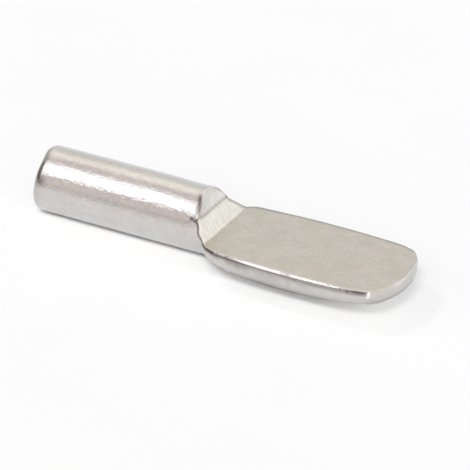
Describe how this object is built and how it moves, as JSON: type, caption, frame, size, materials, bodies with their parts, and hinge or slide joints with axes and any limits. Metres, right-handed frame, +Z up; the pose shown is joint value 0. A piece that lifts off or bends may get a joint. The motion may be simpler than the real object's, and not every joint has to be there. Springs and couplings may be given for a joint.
{
  "type": "shelf support pin",
  "caption": "One-piece metal shelf support pin: a plain round shank for a drilled hole, with a stepped shoulder and a flat rounded blade that carries the shelf.",
  "frame": {"origin": "on the shank's axis at the shoulder, where the pin leaves the cabinet side", "axes": "+X along the shank from its free end towards the blade's tip, +Y across the blade, +Z up, square to the seat that carries the shelf"},
  "size_m": [0.0288, 0.0096, 0.005],
  "materials": {
    "nickel_plate": "bright nickel plate over steel, satin where the blade was pressed"
  },
  "bodies": {
    "root": {"shelf_pin": "nickel_plate"}
  },
  "joints": []
}
